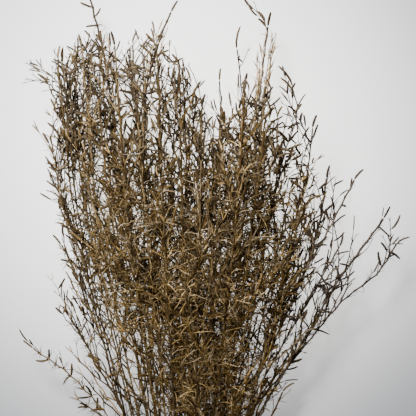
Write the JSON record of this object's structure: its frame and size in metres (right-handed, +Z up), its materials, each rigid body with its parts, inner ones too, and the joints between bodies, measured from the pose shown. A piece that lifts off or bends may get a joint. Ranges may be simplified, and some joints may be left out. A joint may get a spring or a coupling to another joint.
{
  "type": "bunch of dried chilli grass",
  "caption": "Tied bunch of dried, much branched thin stems with slender curved seed pods, laid down with its head spread like a fan.",
  "frame": {"origin": "middle of the bunch's bounding box, on the surface that it lies on", "axes": "+Y along the bunch from the cut ends to the tips, +Z up from the surface, +X to the right as the picture shows it"},
  "size_m": [0.398, 0.7082, 0.1642],
  "materials": {
    "dried_stem": "matte, dried plant stems, pods and leaves, dark brown to straw",
    "band_rubber": "matte natural rubber"
  },
  "bodies": {
    "root": {"stem_01": "dried_stem", "stem_02": "dried_stem", "stem_03": "dried_stem", "stem_04": "dried_stem", "stem_05": "dried_stem", "stem_06": "dried_stem", "stem_07": "dried_stem", "stem_08": "dried_stem", "stem_09": "dried_stem", "stem_10": "dried_stem", "stem_11": "dried_stem", "stem_12": "dried_stem", "stem_13": "dried_stem", "stem_14": "dried_stem", "stem_15": "dried_stem", "stem_16": "dried_stem", "stem_17": "dried_stem", "stem_18": "dried_stem", "stem_19": "dried_stem", "stem_20": "dried_stem", "stem_21": "dried_stem", "stem_22": "dried_stem", "stem_23": "dried_stem", "stem_24": "dried_stem", "stem_25": "dried_stem", "stem_26": "dried_stem", "stem_27": "dried_stem", "stem_28": "dried_stem", "stem_29": "dried_stem", "stem_30": "dried_stem", "stem_31": "dried_stem", "stem_32": "dried_stem", "stem_33": "dried_stem", "stem_34": "dried_stem", "stem_35": "dried_stem", "stem_36": "dried_stem", "stem_37": "dried_stem", "stem_38": "dried_stem", "stem_39": "dried_stem", "stem_40": "dried_stem", "stem_41": "dried_stem", "stem_42": "dried_stem", "band": "band_rubber"}
  },
  "joints": []
}
